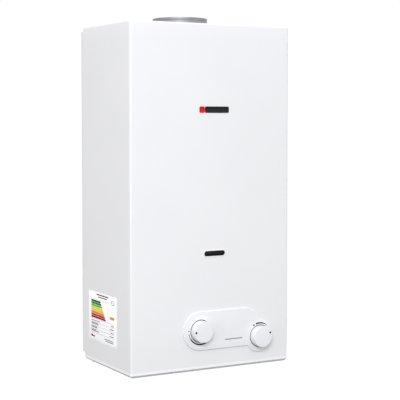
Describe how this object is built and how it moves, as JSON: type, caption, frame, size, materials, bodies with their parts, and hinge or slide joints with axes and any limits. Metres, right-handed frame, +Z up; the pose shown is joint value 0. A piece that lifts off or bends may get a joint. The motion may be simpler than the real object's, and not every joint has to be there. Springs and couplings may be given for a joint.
{
  "type": "wall-hung instantaneous gas water heater",
  "caption": "Flat white wall-hung casing with a round flue collar on top, a slot window, a raised panel with turning knobs, and burner, exchanger and valves inside.",
  "frame": {"origin": "on the wall plane, at the centre of the four wall holes, half way up the casing", "axes": "+Z up, the front faces -Y, the wall is at y = 0, and +X is to the right for someone facing the front"},
  "size_m": [0.4003, 0.28, 0.805],
  "materials": {
    "white_enamel": "smooth baked enamel, satin gloss",
    "white_plastic": "moulded, satin",
    "frame_paint": "powder coat, satin",
    "galvanised": "galvanised sheet with faint spangle",
    "zinc": "zinc-plated, satin",
    "copper": "bare copper, slightly dulled",
    "brass": "cast and machined brass",
    "die_cast": "die-cast aluminium, matt",
    "stainless": "brushed stainless sheet",
    "black_plastic": "moulded, matt",
    "ivory_plastic": "moulded, matt",
    "blue_plastic": "moulded, matt",
    "ceramic_white": "glazed ceramic, gloss",
    "rubber_black": "matt",
    "clear_glass": "heat-proof glass",
    "print_dark": "screen print",
    "plate_dark": "satin nameplate",
    "label_paper": "printed film label",
    "lead_red": "silicone-covered leads"
  },
  "bodies": {
    "heater": {"rear_frame": "frame_paint", "connection_plate": "galvanised", "mounting_brackets": "galvanised", "flue_collar": "galvanised", "draught_hood": "galvanised", "hood_baffle": "galvanised", "flue_sensor": "black_plastic", "exchanger_shell": "copper", "exchanger_fins": "copper", "exchanger_tube": "copper", "combustion_chamber": "copper", "preheat_coil": "copper", "sight_glass": "clear_glass", "burner_blades": "stainless", "burner_frame": "galvanised", "gas_manifold": "die_cast", "injectors": "brass", "electrode_bracket": "zinc", "ignition_electrode": "ceramic_white", "sensing_electrode": "ceramic_white", "gas_valve_body": "die_cast", "gas_valve_cap": "die_cast", "valve_seat": "brass", "valve_spring": "stainless", "solenoid": "black_plastic", "gas_inlet_pipe": "brass", "gas_outlet_pipe": "die_cast", "water_valve_body": "brass", "water_valve_cover": "brass", "valve_screws": "zinc", "diaphragm": "rubber_black", "drain_plug": "brass", "cold_inlet_pipe": "brass", "inlet_strainer": "stainless", "hot_outlet_pipe": "copper", "lock_nuts": "brass", "generator_housing": "ivory_plastic", "generator_cap": "black_plastic", "microswitch": "black_plastic", "control_box": "black_plastic", "leads": "lead_red"},
    "cover": {"front_cover": "white_enamel", "cover_screws": "zinc", "control_panel": "white_plastic", "scale_marks": "print_dark", "window_frame": "zinc", "window_glass": "clear_glass", "nameplate": "plate_dark", "efficiency_label": "label_paper"},
    "temperature_control": {"temperature_knob": "white_plastic", "temperature_pointer": "print_dark", "water_spindle": "brass"},
    "gas_control": {"gas_knob": "white_plastic", "gas_pointer": "print_dark", "gas_spindle": "brass"},
    "valve_rod": {"push_rod": "stainless", "valve_disc": "rubber_black"},
    "lever": {"switch_lever": "stainless"},
    "plunger": {"solenoid_plunger": "stainless"},
    "rotor": {"turbine_rotor": "blue_plastic"}
  },
  "joints": [
    {"name": "cover_slide", "type": "slide", "parent": "heater", "child": "cover", "axis": [0, -1, 0], "range_m": [0, 0.3]},
    {"name": "temperature_turn", "type": "hinge", "parent": "heater", "child": "temperature_control", "pos_m": [-0.0305, -0.26, -0.2935], "axis": [0, -1, 0], "range_deg": [0, 128]},
    {"name": "gas_turn", "type": "hinge", "parent": "heater", "child": "gas_control", "pos_m": [0.1225, -0.26, -0.3175], "axis": [0, -1, 0], "range_deg": [0, 96]},
    {"name": "rod_slide", "type": "slide", "parent": "heater", "child": "valve_rod", "axis": [1, 0, 0], "range_m": [0, 0.005], "stiffness_N_per_m": 600, "springref_m": -0.01, "deforming": ["valve_spring"]},
    {"name": "lever_pivot", "type": "hinge", "parent": "heater", "child": "lever", "pos_m": [0.0106, -0.15, -0.2985], "axis": [0, -1, 0], "range_deg": [0, 36]},
    {"name": "plunger_slide", "type": "slide", "parent": "heater", "child": "plunger", "axis": [0, 0, 1], "range_m": [0, 0.004], "stiffness_N_per_m": 300, "springref_m": -0.005},
    {"name": "rotor_spin", "type": "hinge", "parent": "heater", "child": "rotor", "pos_m": [-0.0305, -0.15, -0.2375], "axis": [0, -1, 0], "continuous": true}
  ],
  "couplings": [
    {"joint": "lever_pivot", "follows": "rod_slide", "rad_per_m": 120}
  ]
}
